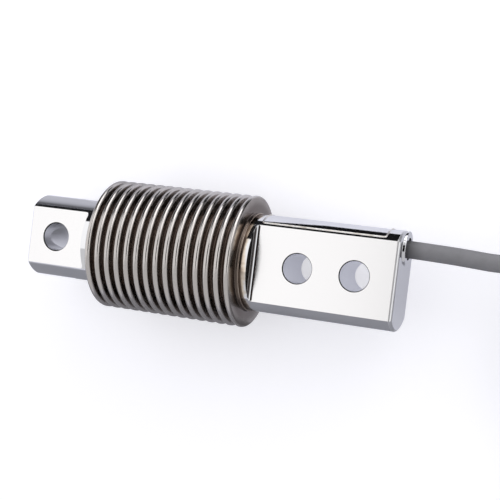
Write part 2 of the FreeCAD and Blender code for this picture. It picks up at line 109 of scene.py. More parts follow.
class Graph:
    """Node tree of one material, with short calls for the nodes that the finishes use."""

    def __init__(self, name: str) -> None:
        """Starts a material that holds only its main shader.

        Args:
            name: Name of the new material.
        """
        self.material = bpy.data.materials.new(name)
        self.material.use_nodes = True
        self.tree = self.material.node_tree
        self.shader = self.tree.nodes["Principled BSDF"]
        self.place = self.add("TexCoord").outputs["Object"]

    def add(self, kind: str, **settings: object) -> bpy.types.Node:
        """Adds a node.

        Args:
            kind: Node type without its common prefix.
            settings: Properties of the node.

        Returns:
            The new node.
        """
        node = self.tree.nodes.new("ShaderNode" + kind)
        for key, value in settings.items():
            setattr(node, key, value)
        return node

    def feed(self, socket: Socket, value: object) -> None:
        """Links a socket to another one, or sets its plain value.

        Args:
            socket: Input to feed.
            value: Output to link, or a plain value.
        """
        if isinstance(value, bpy.types.NodeSocket):
            self.tree.links.new(value, socket)
        else:
            socket.default_value = value

    def set(self, **values: object) -> None:
        """Feeds inputs of the main shader, named with underscores for spaces."""
        for key, value in values.items():
            self.feed(self.shader.inputs[key.replace("_", " ")], value)

    def mapped(self, scale: Triple, offset: Triple = ORIGIN) -> Socket:
        """Moves the object coordinates and then stretches them.

        Args:
            scale: Stretch along X, Y and Z.
            offset: Move along X, Y and Z, before the stretch.

        Returns:
            The new coordinates.
        """
        node = self.add("VectorMath", operation="MULTIPLY_ADD")
        self.feed(node.inputs[0], self.place)
        node.inputs[1].default_value = scale
        node.inputs[2].default_value = tuple(o * s for o, s in zip(offset, scale))
        return node.outputs[0]

    def noise(self, vector: Socket, scale: float = 1.0, detail: float = 3.0) -> Socket:
        """Adds noise.

        Args:
            vector: Coordinates that the noise lies on.
            scale: Noise cells for each step of the coordinates.
            detail: Number of finer layers.

        Returns:
            The noise value, from 0 to 1.
        """
        node = self.add("TexNoise")
        self.feed(node.inputs["Vector"], vector)
        node.inputs["Scale"].default_value = scale
        node.inputs["Detail"].default_value = detail
        return node.outputs["Fac"]

    def step(self, operation: str, first: Number, second: Number = 0.0) -> Socket:
        """Adds one arithmetic step.

        Args:
            operation: Blender's name of the step.
            first: First value.
            second: Second value, where the step takes two.

        Returns:
            The result.
        """
        node = self.add("Math", operation=operation)
        self.feed(node.inputs[0], first)
        self.feed(node.inputs[1], second)
        return node.outputs[0]

    def span(self, value: Number, low: float, high: float,
             start: float = 0.0, end: float = 1.0) -> Socket:
        """Brings a value smoothly from one span onto another, and holds it beyond.

        Args:
            value: Value to bring over.
            low: Where the first span begins.
            high: Where the first span ends.
            start: Result at low and beyond.
            end: Result at high and beyond.

        Returns:
            The result.
        """
        node = self.add("MapRange", interpolation_type="SMOOTHSTEP")
        self.feed(node.inputs["Value"], value)
        for key, number in (("From Min", low), ("From Max", high), ("To Min", start), ("To Max", end)):
            node.inputs[key].default_value = number
        return node.outputs["Result"]

    def fall(self, value: Number, low: float, high: float) -> Socket:
        """One where a value is up to low, and zero where it is past high."""
        return self.span(value, low, high, 1.0, 0.0)

    def between(self, value: Number, low: float, high: float, soft: float) -> Socket:
        """One where a value lies from low to high, and zero beyond a soft border."""
        risen = self.span(value, low - soft, low + soft)
        return self.step("MULTIPLY", risen, self.fall(value, high - soft, high + soft))

    def least(self, values: list[Socket]) -> Socket:
        """Finds the least of some values.

        Args:
            values: The values, one or more.

        Returns:
            The least value.
        """
        least = values[0]
        for value in values[1:]:
            least = self.step("MINIMUM", least, value)
        return least

    def _mixed(self, kind: MixKind, factor: Number, first: object, second: object) -> Socket:
        """Adds a Mix node.

        Args:
            kind: What it mixes.
            factor: Share of the second value.
            first: Value where the factor is 0.
            second: Value where the factor is 1.

        Returns:
            The mixed value.
        """
        data_type, first_input, second_input, output = kind.value
        node = self.add("Mix", data_type=data_type)
        self.feed(node.inputs["Factor"], factor)
        self.feed(node.inputs[first_input], first)
        self.feed(node.inputs[second_input], second)
        return node.outputs[output]

    def mix(self, factor: Number, first: Tone, second: Tone) -> Socket:
        """Colour between two colours, the first where the factor is 0."""
        return self._mixed(MixKind.COLOUR, factor, opaque(first), opaque(second))

    def blend(self, factor: Number, first: Number, second: Number) -> Socket:
        """Number between two numbers, the first where the factor is 0."""
        return self._mixed(MixKind.NUMBER, factor, first, second)

    def ramp(self, factor: Number, stops: tuple[tuple[float, Colour], ...]) -> Socket:
        """Takes a colour from a ramp.

        Args:
            factor: Place on the ramp.
            stops: Pairs of a place and its colour, in order.

        Returns:
            The colour.
        """
        node = self.add("ValToRGB")
        self.feed(node.inputs["Fac"], factor)
        elements = node.color_ramp.elements
        while len(elements) < len(stops):
            elements.new(1.0)
        for element, (place, colour) in zip(elements, stops):
            element.position = place
            element.color = opaque(colour)
        return node.outputs["Color"]

    def bump(self, height: Socket, depth: float) -> None:
        """Raises the surface.

        Args:
            height: Height signal from 0 to 1.
            depth: Height of a full signal, in metres.
        """
        node = self.add("Bump")
        node.inputs["Distance"].default_value = depth
        node.inputs["Strength"].default_value = 1.0
        self.feed(node.inputs["Height"], height)
        self.set(Normal=node.outputs["Normal"])

    def axis_part(self, axis: str) -> Socket:
        """Takes one of the object coordinates.

        Args:
            axis: Name of the axis, X, Y or Z.

        Returns:
            The coordinate.
        """
        node = self.add("SeparateXYZ")
        self.feed(node.inputs[0], self.place)
        return node.outputs[axis]

    def length(self, vector: Socket) -> Socket:
        """Measures a vector.

        Args:
            vector: The vector.

        Returns:
            Its length.
        """
        node = self.add("VectorMath", operation="LENGTH")
        self.feed(node.inputs[0], vector)
        return node.outputs["Value"]

    def ridges(self, way: Triple) -> Socket:
        """Makes even ridges.

        Args:
            way: Direction across the ridges, as long as their number in each metre.

        Returns:
            Height of the ridges.
        """
        node = self.add("VectorMath", operation="DOT_PRODUCT")
        self.feed(node.inputs[0], self.place)
        node.inputs[1].default_value = tuple(2 * math.pi * part for part in way)
        return self.step("SINE", node.outputs["Value"])

    def distance(self, value: Number, mark: float) -> Socket:
        """Distance of a value from a mark, on either side."""
        return self.step("ABSOLUTE", self.step("SUBTRACT", value, mark))

    def radius_from_bar(self, height: float) -> Socket:
        """Distance from the bar's axis, which lies at a height above the ground."""
        return self.length(self.mapped((0.0, 1.0, 1.0), (0.0, 0.0, -height)))

    def radius_from_hole(self, station: float) -> Socket:
        """Distance from the axis of an upright hole at a station along the bar."""
        return self.length(self.mapped((1.0, 1.0, 0.0), (-station, 0.0, 0.0)))


def opaque(colour: Tone) -> Socket | tuple[float, float, float, float]:
    """Colour with its alpha, or the socket that gives it.

    Args:
        colour: Plain colour or socket.

    Returns:
        The value that a colour input takes.
    """
    if isinstance(colour, bpy.types.NodeSocket):
        return colour
    return (*colour, 1.0)


class Finish(Protocol):
    """Anything that builds a material."""

    def material(self) -> bpy.types.Material:
        """Builds the material."""


@dataclass(frozen=True)
class GroundFlats:
    """Ground flats above and below the bar's axis, paler and duller than the turned steel."""

    axis_height: float
    height: float = FLAT_HEIGHT
    border: Span = (mm(0.01), mm(0.06))
    colour: Colour = (0.87, 0.858, 0.85)
    roughness: float = 0.24

    def mask(self, graph: Graph) -> Socket:
        """One on the flats, and zero elsewhere."""
        from_axis = graph.distance(graph.axis_part("Z"), self.axis_height)
        return graph.fall(graph.distance(from_axis, self.height), *self.border)


@dataclass(frozen=True)
class EndEdge:
    """Satin edge round the face that the cable leaves, between two stations along the bar."""

    start: float
    end: float
    border: float = mm(0.03)
    roughness: float = 0.36

    def mask(self, graph: Graph) -> Socket:
        """One on the edge, and zero elsewhere."""
        return graph.between(graph.axis_part("X"), self.start, self.end, self.border)


@dataclass(frozen=True)
class HeatTint:
    """Straw and brown tint that weld heat leaves beside seams round the bar."""

    stations: tuple[float, ...]
    reach: float = mm(2.6)
    cloud_scale: float = 320.0
    unevenness: Span = (0.75, 1.35)
    straw: Colour = (0.66, 0.57, 0.47)
    straw_span: Span = (0.0, 0.5)
    brown: Colour = (0.19, 0.14, 0.11)
    brown_span: Span = (0.35, 0.95)

    def strength(self, graph: Graph) -> Socket:
        """Finds the tint's strength from the distance along the bar to the nearest seam.

        Args:
            graph: Material that is being built.

        Returns:
            The strength, from 0 to 1.
        """
        along = graph.axis_part("X")
        nearest = graph.least([graph.distance(along, station) for station in self.stations])
        clouds = graph.noise(graph.place, self.cloud_scale, detail=2.0)
        uneven = graph.step("MULTIPLY", nearest, graph.span(clouds, *NOISE_SPAN, *self.unevenness))
        return graph.fall(uneven, 0.0, self.reach)

    def over(self, graph: Graph, colour: Tone) -> Socket:
        """Lays the tint over a colour.

        Args:
            graph: Material that is being built.
            colour: Colour of the untinted steel.

        Returns:
            The tinted colour.
        """
        heat = self.strength(graph)
        oxide = graph.mix(graph.span(heat, *self.brown_span), self.straw, self.brown)
        return graph.mix(graph.span(heat, *self.straw_span), colour, oxide)


@dataclass(frozen=True)
class ShoulderShade:
    """Painted shade: a dark reflection painted on the shoulder's wall and along its foot."""

    station: float
    axis_height: float
    radius: float = mm(13.8)
    radius_border: float = mm(0.3)
    wall_start: Span = (mm(-0.06), mm(-0.02))
    wall_end: Span = (mm(0.05), mm(0.5))
    foot: Span = (mm(0.68), mm(1.08))
    foot_border: float = mm(0.08)
    # Colour of the painted shade on the shoulder
    colour: Colour = (0.05, 0.042, 0.039)

    def mask(self, graph: Graph) -> Socket:
        """Finds where the painted shade lies.

        Args:
            graph: Material that is being built.

        Returns:
            One on the painted shade, and zero elsewhere.
        """
        along = graph.step("SUBTRACT", graph.axis_part("X"), self.station)
        begun = graph.span(along, *self.wall_start)
        wall = graph.step("MULTIPLY", begun, graph.fall(along, *self.wall_end))
        # The painted shade lies on the wall and in a band along its foot
        film = graph.step("MAXIMUM", wall, graph.between(along, *self.foot, self.foot_border))
        out = graph.radius_from_bar(self.axis_height)
        return graph.step("MULTIPLY", film, graph.fall(out, self.radius - self.radius_border, self.radius))


@dataclass(frozen=True)
class HoleRimShade:
    """Painted shade: dark rings painted on the broken edges of the bolt holes, above and below."""

    stations: tuple[float, ...]
    axis_height: float
    radius: float = mm(4.1)
    width: float = mm(0.2)
    width_border: float = mm(0.04)
    depth: float = mm(0.35)
    depth_border: float = mm(0.05)
    # Colour of the painted shade round the holes
    colour: Colour = (0.08, 0.076, 0.075)

    def mask(self, graph: Graph) -> Socket:
        """Finds the broken edges.

        Args:
            graph: Material that is being built.

        Returns:
            One on the edges, and zero elsewhere.
        """
        outline = self.radius + self.width
        nearest = graph.least([graph.radius_from_hole(station) for station in self.stations])
        inside = graph.fall(nearest, outline, outline + self.width_border)
        floor = FLAT_HEIGHT - self.depth
        from_axis = graph.distance(graph.axis_part("Z"), self.axis_height)
        return graph.step("MULTIPLY", inside, graph.span(from_axis, floor, floor + self.depth_border))


@dataclass(frozen=True)
class SteelFinish:
    """Polished steel with fine tool marks and, on the bar, the places that look different, some of them
    painted shade.
    """

    name: str
    bright: Colour = (0.80, 0.80, 0.81)
    dull: Colour = (0.75, 0.75, 0.765)
    cloud_scale: float = 70.0
    wear_span: Span = (0.1, 0.45)
    roughness: Span = (0.06, 0.11)
    grain: Grain = Grain.ALONG_BAR
    mark_depth: float = mm(0.0012)
    flats: GroundFlats | None = None
    end_edge: EndEdge | None = None
    heat: HeatTint | None = None
    # Painted shade on the shoulder's wall and foot
    film: ShoulderShade | None = None
    # Painted shade round the bolt holes
    hole_rim_shade: HoleRimShade | None = None

    def material(self) -> bpy.types.Material:
        """Builds the material.

        Returns:
            The new material.
        """
        graph = Graph(self.name)
        marks = graph.noise(graph.mapped(self.grain.value))
        clouds = graph.noise(graph.place, self.cloud_scale)
        colour = graph.mix(graph.span(clouds, *NOISE_SPAN), self.bright, self.dull)
        wear = graph.step("MULTIPLY", marks, clouds)
        roughness = graph.span(wear, *self.wear_span, *self.roughness)
        if self.flats:
            flat = self.flats.mask(graph)
            colour = graph.mix(flat, colour, self.flats.colour)
            roughness = graph.blend(flat, roughness, self.flats.roughness)
        if self.end_edge:
            roughness = graph.blend(self.end_edge.mask(graph), roughness, self.end_edge.roughness)
        if self.heat:
            colour = self.heat.over(graph, colour)
        # Painted shade: darkens the shoulder's wall and foot
        if self.film:
            colour = graph.mix(self.film.mask(graph), colour, self.film.colour)
        # Painted shade: darkens the holes' broken edges
        if self.hole_rim_shade:
            colour = graph.mix(self.hole_rim_shade.mask(graph), colour, self.hole_rim_shade.colour)
        graph.set(Metallic=1.0, Base_Color=colour, Roughness=roughness)
        graph.bump(marks, self.mark_depth)
        return graph.material


@dataclass(frozen=True)
class BellowsFinish:
    """Formed steel sheet, with painted shade in the valleys and on the end walls beside the cuffs."""

    name: str
    axis_height: float
    crest_radius: float
    valley_radius: float
    end_walls: Span
    end_border: float = mm(0.25)
    crest: Colour = (0.56, 0.53, 0.508)
    crest_share: float = 0.16
    flank_shade: Colour = (0.43, 0.39, 0.362)
    flank_share: float = 0.5
    valley_shade: Colour = (0.29, 0.245, 0.222)
    # Painted shade on the end walls, with a brown weld tint that deepens towards the root
    end_wall_shade: Colour = (0.27, 0.24, 0.215)
    burnt: Colour = (0.13, 0.102, 0.085)
    root_shade_span: Span = (0.1, 0.95)
    cloud_scale: float = 160.0
    unevenness: Span = (-0.06, 0.06)
    roughness: Span = (0.16, 0.28)
    line_depth: float = mm(0.003)

    def material(self) -> bpy.types.Material:
        """Builds the material.

        Returns:
            The new material.
        """
        graph = Graph(self.name)
        radius = graph.radius_from_bar(self.axis_height)
        depth = graph.span(radius, self.crest_radius, self.valley_radius)
        clouds = graph.noise(graph.place, self.cloud_scale)
        lines = graph.noise(graph.mapped(Grain.ROUND_BAR.value), detail=2.0)
        shade_depth = graph.step("ADD", depth, graph.span(clouds, *NOISE_SPAN, *self.unevenness))
        # Painted shade: the colour grows darker and browner from the crests down to the valleys
        shaded_fold_colour = graph.ramp(shade_depth, (
            (0.0, self.crest),
            (self.crest_share, self.crest),
            (self.flank_share, self.flank_shade),
            (1.0, self.valley_shade),
        ))
        # Painted shade on the end walls, darker and browner towards the root
        end_wall_colour = graph.mix(graph.span(shade_depth, *self.root_shade_span), self.end_wall_shade, self.burnt)
        folds = graph.between(graph.axis_part("X"), *self.end_walls, self.end_border)
        graph.set(Metallic=1.0, Base_Color=graph.mix(folds, end_wall_colour, shaded_fold_colour))
        graph.set(Roughness=graph.span(lines, *NOISE_SPAN, *self.roughness))
        graph.bump(lines, self.line_depth)
        return graph.material


@dataclass(frozen=True)
class WeldFinish:
    """Rippled weld metal, bare in places and with straw and brown oxide in others."""

    name: str
    bare: Colour = (0.90, 0.89, 0.88)
    straw: Colour = (0.80, 0.76, 0.71)
    brown: Colour = (0.50, 0.44, 0.39)
    tone_places: Triple = (0.35, 0.55, 0.72)
    patch_scale: float = 260.0
    roughness: Span = (0.22, 0.42)
    ripple_length: float = mm(0.5)
    ripple_depth: float = mm(0.05)

    def material(self) -> bpy.types.Material:
        """Builds the material.

        Returns:
            The new material.
        """
        graph = Graph(self.name)
        ripples = graph.noise(graph.place, 1.0 / self.ripple_length, detail=1.0)
        patches = graph.noise(graph.place, self.patch_scale)
        tones = zip(self.tone_places, (self.bare, self.straw, self.brown))
        graph.set(Metallic=1.0, Base_Color=graph.ramp(patches, tuple(tones)))
        graph.set(Roughness=graph.span(patches, *NOISE_SPAN, *self.roughness))
        graph.bump(ripples, self.ripple_depth)
        return graph.material


@dataclass(frozen=True)
class SatinFinish:
    """Plastic, rubber, enamel or wire with an uneven colour, and pores or ridges, with an optional painted
    shadow.
    """

    name: str
    base: Colour
    shade: Colour
    roughness: Span = (0.38, 0.55)
    patch_scale: float = 220.0
    pore_scale: float = 3500.0
    pore_depth: float = mm(0.01)
    metallic: float = 0.0
    ridge_way: Triple = ORIGIN
    ridge_depth: float = mm(0.08)
    # Painted shadow, darkest before the span's start along X
    gland_shadow_span: Span | None = None
    gland_shadow: Colour = (0.05, 0.05, 0.054)

    def material(self) -> bpy.types.Material:
        """Builds the material.

        Returns:
            The new material.
        """
        graph = Graph(self.name)
        patches = graph.noise(graph.place, self.patch_scale)
        pores = graph.noise(graph.place, self.pore_scale, detail=2.0)
        colour = graph.mix(graph.span(patches, *NOISE_SPAN), self.base, self.shade)
        # Painted shadow: the colour darkens before a place along X
        if self.gland_shadow_span:
            unshaded = graph.span(graph.axis_part("X"), *self.gland_shadow_span)
            colour = graph.mix(unshaded, self.gland_shadow, colour)
        graph.set(Metallic=self.metallic, Base_Color=colour)
        graph.set(Roughness=graph.span(pores, *NOISE_SPAN, *self.roughness))
        if any(self.ridge_way):
            graph.bump(graph.ridges(self.ridge_way), self.ridge_depth)
        else:
            graph.bump(pores, self.pore_depth)
        return graph.material


@dataclass(frozen=True)
class Patch:
    """Rectangle of bare metal, placed along and across the bar from the middle of a piece."""

    start: float
    end: float
    low: float
    high: float

    def mask(self, graph: Graph, along: Socket, across: Socket, border: float) -> Socket:
        """One on the patch, and zero beyond its soft border."""
        length = graph.between(along, self.start, self.end, border)
        return graph.step("MULTIPLY", length, graph.between(across, self.low, self.high, border))


@dataclass(frozen=True)
class MeasuringGrid:
    """Fine lines of foil along the bar, round the middle of a piece."""

    half_length: float = mm(1.7)
    half_width: float = mm(1.5)
    pitch: float = mm(0.3)
    line: Span = (0.25, 0.75)
    line_border: float = 0.08

    def mask(self, graph: Graph, along: Socket, across: Socket, border: float) -> Socket:
        """Finds the lines.

        Args:
            graph: Material that is being built.
            along: Place along the bar from the middle.
            across: Place across the bar from the middle.
            border: Width of the grid's soft outline.

        Returns:
            One on the lines, and zero elsewhere.
        """
        part = graph.step("FRACT", graph.step("DIVIDE", across, self.pitch))
        lines = graph.between(part, *self.line, self.line_border)
        outline = Patch(-self.half_length, self.half_length, -self.half_width, self.half_width)
        return graph.step("MULTIPLY", lines, outline.mask(graph, along, across, border))


@dataclass(frozen=True)
class FoilFinish:
    """Film, laminate or chip body with patches and grids of bare metal."""

    name: str
    middle: Vector
    base: Colour
    shade: Colour
    metal: Colour
    patches: tuple[Patch | MeasuringGrid, ...]
    side: FoilSide = FoilSide.LYING
    cloud_scale: float = 240.0
    roughness: Span = (0.22, 0.38)
    foil_height: float = mm(0.02)
    border: float = mm(0.03)

    def material(self) -> bpy.types.Material:
        """Builds the material.

        Returns:
            The new material.
        """
        graph = Graph(self.name)
        axis = self.side.value
        along = graph.step("SUBTRACT", graph.axis_part("X"), self.middle.x)
        across = graph.step("SUBTRACT", graph.axis_part(axis), getattr(self.middle, axis.lower()))
        bare: Number = 0.0
        for patch in self.patches:
            bare = graph.step("MAXIMUM", bare, patch.mask(graph, along, across, self.border))
        clouds = graph.noise(graph.place, self.cloud_scale)
        body = graph.mix(graph.span(clouds, *NOISE_SPAN), self.base, self.shade)
        graph.set(Base_Color=graph.mix(bare, body, self.metal), Metallic=bare)
        graph.set(Roughness=graph.span(clouds, *NOISE_SPAN, *self.roughness))
        graph.bump(bare, self.foil_height)
        return graph.material


def middle_of(name: str) -> Vector:
    """Middle of a CAD node's box."""
    low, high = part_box(name)
    return (low + high) / 2


def paired(start: float, end: float, width: Span) -> tuple[Patch, Patch]:
    """A patch of metal and its mirror image on the other side of the middle."""
    low, high = width
    return (Patch(start, end, low, high), Patch(start, end, -high, -low))


def dress_nodes(finish: Finish, *names: str) -> None:
    """Gives CAD nodes one finish.

    Args:
        finish: Finish that they share.
        names: Nodes to dress.
    """
    material = finish.material()
    for name in names:
        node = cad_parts[name]
        node.data.materials.clear()
        node.data.materials.append(material)
        LOG.info("%s: dressed with %s", name, material.name)


def new_piece(bm: BMesh, name: str, material: bpy.types.Material) -> bpy.types.Object:
    """Makes a smooth piece from a bmesh, riding on the load cell.

    Args:
        bm: Finished shape in the row frame, freed here.
        name: Name of the piece.
        material: Its material.

    Returns:
        The new object.
    """
    mesh = bpy.data.meshes.new(name)
    bm.to_mesh(mesh)
    bm.free()
    mesh.materials.append(material)
    mesh.polygons.foreach_set("use_smooth", [True] * len(mesh.polygons))
    piece = bpy.data.objects.new(name, mesh)
    bpy.context.scene.collection.objects.link(piece)
    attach(piece, BODY)
    LOG.info("%s: %d faces", name, len(mesh.polygons))
    return piece


def close_up(bm: BMesh, merge: float) -> None:
    """Merges the doubles of a shape and turns its faces outwards."""
    bmesh.ops.remove_doubles(bm, verts=bm.verts[:], dist=merge)
    bmesh.ops.recalc_face_normals(bm, faces=bm.faces[:])


def spin_round_bar(bm: BMesh, section: list, steps: int, merge: float, axis_height: float) -> None:
    """Spins a section right round the bar.

    Args:
        bm: Shape that holds the section, drawn round an axis on the ground.
        section: Vertices and edges to spin.
        steps: Number of steps in the whole turn.
        merge: Distance within which doubles are merged.
        axis_height: Height that the bar's axis is raised to afterwards.
    """
    bmesh.ops.spin(bm, geom=section, cent=ORIGIN, axis=BAR_AXIS, dvec=ORIGIN,
                   angle=2 * math.pi, steps=steps, use_merge=True)
    close_up(bm, merge)
    bmesh.ops.translate(bm, verts=bm.verts[:], vec=(0.0, 0.0, axis_height))


@dataclass
class ViewCamera:
    """Camera at the photograph's place, turned from looking straight down with +Y upwards."""

    aim: Vector = Vector((mm(10.81), mm(3.22), mm(18.9)))
    distance: float = 0.29699
    yaw: float = math.radians(20.0426)
    pitch: float = math.radians(1.2043)
    roll: float = math.radians(6.9008)
    lens: float = 74.825

    def build(self) -> None:
        """Makes the camera and gives it to the scene."""
        turn = Matrix.Rotation(self.yaw, 4, "Y") @ Matrix.Rotation(-self.pitch, 4, "X")
        turn = turn @ Matrix.Rotation(self.roll, 4, "Z")
        data = bpy.data.cameras.new("view")
        data.lens = self.lens
        camera = bpy.data.objects.new("view", data)
        bpy.context.scene.collection.objects.link(camera)
        camera.matrix_world = Matrix.Translation(self.aim + turn @ Vector((0, 0, self.distance))) @ turn
        bpy.context.scene.camera = camera
        LOG.info("camera set %.3f m from its aim", self.distance)


@dataclass
class CableCord:
    """Grey connecting cable: a straight lead from the gland, a tied hank and a stripped end."""

    diameter: float = mm(4.8)
    length: float = 3.0
    fold_radius: float = mm(15.0)
    rows: int = 5
    columns: int = 2
    near_fold: Vector = Vector((mm(111.47), mm(-7.0), mm(0.8)))
    far_fold: Vector = Vector((mm(199.47), mm(-7.0), mm(0.8)))
    fold_steps: int = 8
    side_step: float = 0.75
    lead_mm: tuple[Triple, ...] = ((46.02, 8.96, 18.9), (66.02, 8.8, 18.9), (86.02, 7.4, 19.8))
    tail_mm: tuple[Triple, ...] = ((135.47, 1.0, 2.4), (148.47, 1.0, 2.4), (161.47, 1.0, 2.4))
    round_steps: int = 5
    curve_steps: int = 8
    curve_order: int = 3
    grey: Colour = (0.205, 0.203, 0.217)
    grey_shade: Colour = (0.18, 0.179, 0.19)
    roughness: Span = (0.55, 0.7)
    # Painted shadow on the jacket round the gland
    gland_shadow_span: Span = (mm(-2.0), mm(5.0))

    def jacket(self) -> SatinFinish:
        """Places the painted shadow on the jacket where it leaves the gland.

        Returns:
            The finish of the jacket.
        """
        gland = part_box("gland_ferrule")[1].x
        return SatinFinish("cable_jacket", self.grey, self.grey_shade, self.roughness,
                           gland_shadow_span=tuple(gland + part for part in self.gland_shadow_span))

    def points_at(self, places: tuple[Triple, ...]) -> list[Vector]:
        """Points at places that are given in millimetres."""
        return [Vector((mm(x), mm(y), mm(z))) for x, y, z in places]

    def turns(self) -> list[tuple[float, float]]:
        """Winds the hank layer by layer from its top outer turn.

        Returns:
            Fold radius and height of each turn.
        """
        places = []
        for row in reversed(range(self.rows)):
            height = self.near_fold.z + (row + 0.5) * self.diameter
            columns = range(self.columns) if row % 2 else reversed(range(self.columns))
            places += [(self.fold_radius + column * self.diameter, height) for column in columns]
        return places

    def fold(self, centre: Vector, start: float, here: tuple[float, float],
             after: tuple[float, float], delay: float) -> list[Vector]:
        """Makes one half turn, clockwise from above.

        Args:
            centre: Point that the fold goes round.
            start: Angle of its first point.
            here: Radius and height at its start.
            after: Radius and height at its end.
            delay: Share of the fold that passes before the cable moves to its next place.

        Returns:
            The points, from the fold's first to its last.
        """
        points = []
        for step in range(self.fold_steps + 1):
            share = step / self.fold_steps
            moved = min(1.0, max(0.0, (share - delay) / self.side_step))
            radius = here[0] + (after[0] - here[0]) * moved
            height = here[1] + (after[1] - here[1]) * moved
            angle = start - math.pi * share
            x = centre.x + radius * math.cos(angle)
            y = centre.y + radius * math.sin(angle)
            points.append(Vector((x, y, height)))
        return points

    def led_in_and_out(self, points: list[Vector], way: float) -> list[Vector]:
        """A fold's points with one more on the run before it and after it, a step away along X.

        Args:
            points: Points of the fold.
            way: +1 where the runs come from low X, and -1 where they come from high X.

        Returns:
            The longer list.
        """
        step = Vector((way * math.pi * self.fold_radius / self.fold_steps, 0.0, 0.0))
        return [points[0] - step, *points, points[-1] - step]

    def hank_points(self) -> list[Vector]:
        """Winds all turns, each with one run, the far fold, the run back and the near fold.

        Returns:
            The points of the hank, from its entry.
        """
        places = self.turns()
        last = len(places) - 1
        radius, height = places[0]
        points = [Vector((self.near_fold.x, self.near_fold.y + radius, height))]
        for turn, here in enumerate(places):
            after = places[min(turn + 1, last)]
            delay = (1.0 - self.side_step) * (1.0 - turn / last)
            far = self.fold(self.far_fold, math.pi / 2, here, here, 0.0)
            near = self.fold(self.near_fold, -math.pi / 2, here, after, delay)
            points += self.led_in_and_out(far, 1.0) + self.led_in_and_out(near, -1.0)
        return points

    def build(self) -> bpy.types.Object:
        """Returns:
            The cable's curve object.
        """
        points = self.points_at(self.lead_mm) + self.hank_points() + self.points_at(self.tail_mm)
        curve = bpy.data.curves.new("cable", "CURVE")
        curve.dimensions = "3D"
        curve.bevel_depth = self.diameter / 2
        curve.bevel_resolution = self.round_steps
        curve.resolution_u = self.curve_steps
        curve.use_fill_caps = True
        spline = curve.splines.new("NURBS")
        spline.points.add(len(points) - 1)
        for point, place in zip(spline.points, points):
            point.co = (*place, 1.0)
        spline.order_u = self.curve_order
        spline.use_endpoint_u = True
        curve.materials.append(self.jacket().material())
        cable = bpy.data.objects.new("cable", curve)
        bpy.context.scene.collection.objects.link(cable)
        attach(cable, BODY)
        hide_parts("cable_lead", "cable_hank", "cable_tail")
        LOG.info("cable: %d points", len(points))
        return cable


@dataclass
class MetalBellows:
    """Formed bellows whose outer wall is spun from one profile of arcs and straight flanks."""

    root_radius: float = mm(14.8)
    pitch: float = mm(3.04)
    wall: float = mm(0.25)
    crest_radius: float = mm(0.84)
    cuff_length: float = mm(0.8)
    bend_radius: float = mm(0.3)
    # Reach of the end walls' painted shade past the cuffs
    shade_reach: float = mm(0.2)
    convolutions: int = 15
    arc_steps: int = 9
    spin_steps: int = 144
    merge: float = mm(0.0005)

    def __post_init__(self) -> None:
        """Takes the outer radius, the axis and both ends from the CAD node."""
        low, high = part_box("bellows")
        self.outer_radius = (high.z - low.z) / 2
        self.axis_height = (high.z + low.z) / 2
        self.start, self.end = low.x, high.x

    def _run(self, bm: BMesh, tip: BMVert, along: float, out: float) -> BMVert:
        """Draws a straight line from the tip of the profile.

        Args:
            bm: Profile that is being drawn.
            tip: Its last vertex.
            along: Length of the line along the bar.
            out: Length of the line away from the bar.

        Returns:
            The new tip.
        """
        made = bmesh.ops.extrude_vert_indiv(bm, verts=[tip])["verts"]
        bmesh.ops.translate(bm, verts=made, vec=(along, 0.0, out))
        return made[0]

    def _turn(self, bm: BMesh, tip: BMVert, along: float, out: float, degrees: float) -> BMVert:
        """Draws an arc from the tip of the profile.

        Args:
            bm: Profile that is being drawn.
            tip: Its last vertex.
            along: Offset of the arc's centre along the bar.
            out: Offset of the arc's centre away from the bar.
            degrees: Angle of the arc.

        Returns:
            The new tip.
        """
        centre = tip.co + Vector((along, 0.0, out))
        made = bmesh.ops.spin(bm, geom=[tip], cent=centre, axis=COVER_AXIS, dvec=ORIGIN,
                              angle=math.radians(degrees), steps=self.arc_steps, use_merge=False)
        return [item for item in made["geom_last"] if isinstance(item, BMVert)][0]

    def profile(self) -> BMesh:
        """Draws the outer wall's profile in the XZ plane, with the radius along Z.

        Returns:
            A bmesh of the profile's edges.
        """
        root_arc = self.pitch / 2 - self.crest_radius
        crest_level = self.outer_radius - self.crest_radius
        root_level = self.root_radius + root_arc
        cuff_run = self.cuff_length - self.bend_radius
        load_level = LOAD_COLLAR_RADIUS + self.wall
        mount_level = MOUNT_COLLAR_RADIUS + self.wall
        bm = bmesh.new()
        tip = bm.verts.new((self.start, 0.0, load_level))
        tip = self._run(bm, tip, cuff_run, 0.0)
        tip = self._turn(bm, tip, 0.0, self.bend_radius, -90.0)
        for turn in range(self.convolutions):
            tip = self._run(bm, tip, 0.0, crest_level - tip.co.z)
            tip = self._turn(bm, tip, self.crest_radius, 0.0, 180.0)
            if turn < self.convolutions - 1:
                tip = self._run(bm, tip, 0.0, root_level - crest_level)
                tip = self._turn(bm, tip, root_arc, 0.0, -180.0)
        tip = self._run(bm, tip, 0.0, mount_level + self.bend_radius - crest_level)
        tip = self._turn(bm, tip, self.bend_radius, 0.0, -90.0)
        self._run(bm, tip, cuff_run, 0.0)
        return bm

    def finish(self) -> BellowsFinish:
        """Places the borders of the end walls' painted shade just inside the cuffs.

        Returns:
            The finish of the wall.
        """
        inset = self.cuff_length + self.shade_reach
        walls = (self.start + inset, self.end - inset)
        return BellowsFinish("bellows_steel", self.axis_height, self.outer_radius, self.root_radius, walls)

    def build(self) -> bpy.types.Object:
        """Spins the profile round the bar and gives the wall its thickness.

        Returns:
            The bellows object.
        """
        bm = self.profile()
        spin_round_bar(bm, bm.verts[:] + bm.edges[:], self.spin_steps, self.merge, self.axis_height)
        piece = new_piece(bm, "bellows_wall", self.finish().material())
        solid = piece.modifiers.new("wall", "SOLIDIFY")
        solid.thickness = self.wall
        solid.offset = -1.0
        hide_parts("bellows")
        return piece


